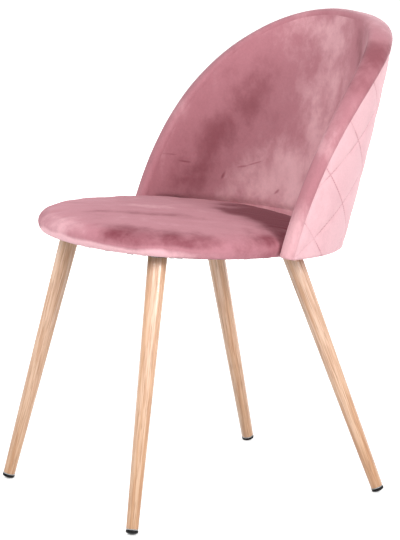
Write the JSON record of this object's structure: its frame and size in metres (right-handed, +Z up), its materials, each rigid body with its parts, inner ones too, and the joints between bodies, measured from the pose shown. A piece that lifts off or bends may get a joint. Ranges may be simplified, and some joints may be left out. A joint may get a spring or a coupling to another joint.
{
  "type": "side chair",
  "caption": "Upholstered side chair with a round velvet seat, a half-round back that wraps round it and is quilted outside, and splayed oak-look tube legs.",
  "frame": {"origin": "on the floor, at the middle of the chair's bounding box seen from above", "axes": "+Z up, the chair faces -Y, and +X points to the right as seen from the front, across the plane of symmetry"},
  "size_m": [0.4774, 0.5906, 0.7574],
  "materials": {
    "rose_velvet": "dusty rose velvet",
    "pale_velvet": "the same velvet stitched to thin wadding in diamonds, which catches the light and reads much paler",
    "foam": "open-cell foam",
    "plywood": "moulded birch plywood, unfinished",
    "dust_cloth": "black non-woven cloth",
    "oak_print_steel": "glossy light oak print on tapered steel tube",
    "black_steel": "black powder coat",
    "zinc_steel": "bright zinc plate",
    "black_plastic": "glossy black nylon"
  },
  "bodies": {
    "chair": {"seat_cover": "rose_velvet", "seat_foam": "foam", "seat_board": "plywood", "seat_dust_cover": "dust_cloth", "back_shell": "plywood", "back_padding": "foam", "back_rim_roll": "foam", "back_rim_band": "rose_velvet", "back_inner_cover": "rose_velvet", "back_outer_cover": "pale_velvet", "leg_tube_front_left": "oak_print_steel", "leg_insert_front_left": "zinc_steel", "leg_plate_front_left": "black_steel", "leg_bolt_front_left_a": "zinc_steel", "board_nut_front_left_a": "zinc_steel", "leg_bolt_front_left_b": "zinc_steel", "board_nut_front_left_b": "zinc_steel", "leg_tube_front_right": "oak_print_steel", "leg_insert_front_right": "zinc_steel", "leg_plate_front_right": "black_steel", "leg_bolt_front_right_a": "zinc_steel", "board_nut_front_right_a": "zinc_steel", "leg_bolt_front_right_b": "zinc_steel", "board_nut_front_right_b": "zinc_steel", "leg_tube_rear_left": "oak_print_steel", "leg_insert_rear_left": "zinc_steel", "leg_plate_rear_left": "black_steel", "leg_bolt_rear_left_a": "zinc_steel", "board_nut_rear_left_a": "zinc_steel", "leg_bolt_rear_left_b": "zinc_steel", "board_nut_rear_left_b": "zinc_steel", "leg_tube_rear_right": "oak_print_steel", "leg_insert_rear_right": "zinc_steel", "leg_plate_rear_right": "black_steel", "leg_bolt_rear_right_a": "zinc_steel", "board_nut_rear_right_a": "zinc_steel", "leg_bolt_rear_right_b": "zinc_steel", "board_nut_rear_right_b": "zinc_steel", "back_bracket_rear": "black_steel", "board_screw_rear": "zinc_steel", "shell_screw_rear_a": "zinc_steel", "shell_screw_rear_b": "zinc_steel", "back_bracket_left": "black_steel", "board_screw_left": "zinc_steel", "shell_screw_left_a": "zinc_steel", "shell_screw_left_b": "zinc_steel", "back_bracket_right": "black_steel", "board_screw_right": "zinc_steel", "shell_screw_right_a": "zinc_steel", "shell_screw_right_b": "zinc_steel"},
    "glide_front_left": {"glide_pad_front_left": "black_plastic", "glide_stud_front_left": "zinc_steel"},
    "glide_front_right": {"glide_pad_front_right": "black_plastic", "glide_stud_front_right": "zinc_steel"},
    "glide_rear_left": {"glide_pad_rear_left": "black_plastic", "glide_stud_rear_left": "zinc_steel"},
    "glide_rear_right": {"glide_pad_rear_right": "black_plastic", "glide_stud_rear_right": "zinc_steel"}
  },
  "joints": [
    {"name": "glide_front_left", "type": "slide", "parent": "chair", "child": "glide_front_left", "axis": [-0.1489, -0.2029, -0.9678], "range_m": [0, 0.006]},
    {"name": "glide_front_right", "type": "slide", "parent": "chair", "child": "glide_front_right", "axis": [0.1489, -0.2029, -0.9678], "range_m": [0, 0.006]},
    {"name": "glide_rear_left", "type": "slide", "parent": "chair", "child": "glide_rear_left", "axis": [-0.1802, 0.2917, -0.9394], "range_m": [0, 0.006]},
    {"name": "glide_rear_right", "type": "slide", "parent": "chair", "child": "glide_rear_right", "axis": [0.1802, 0.2917, -0.9394], "range_m": [0, 0.006]}
  ]
}
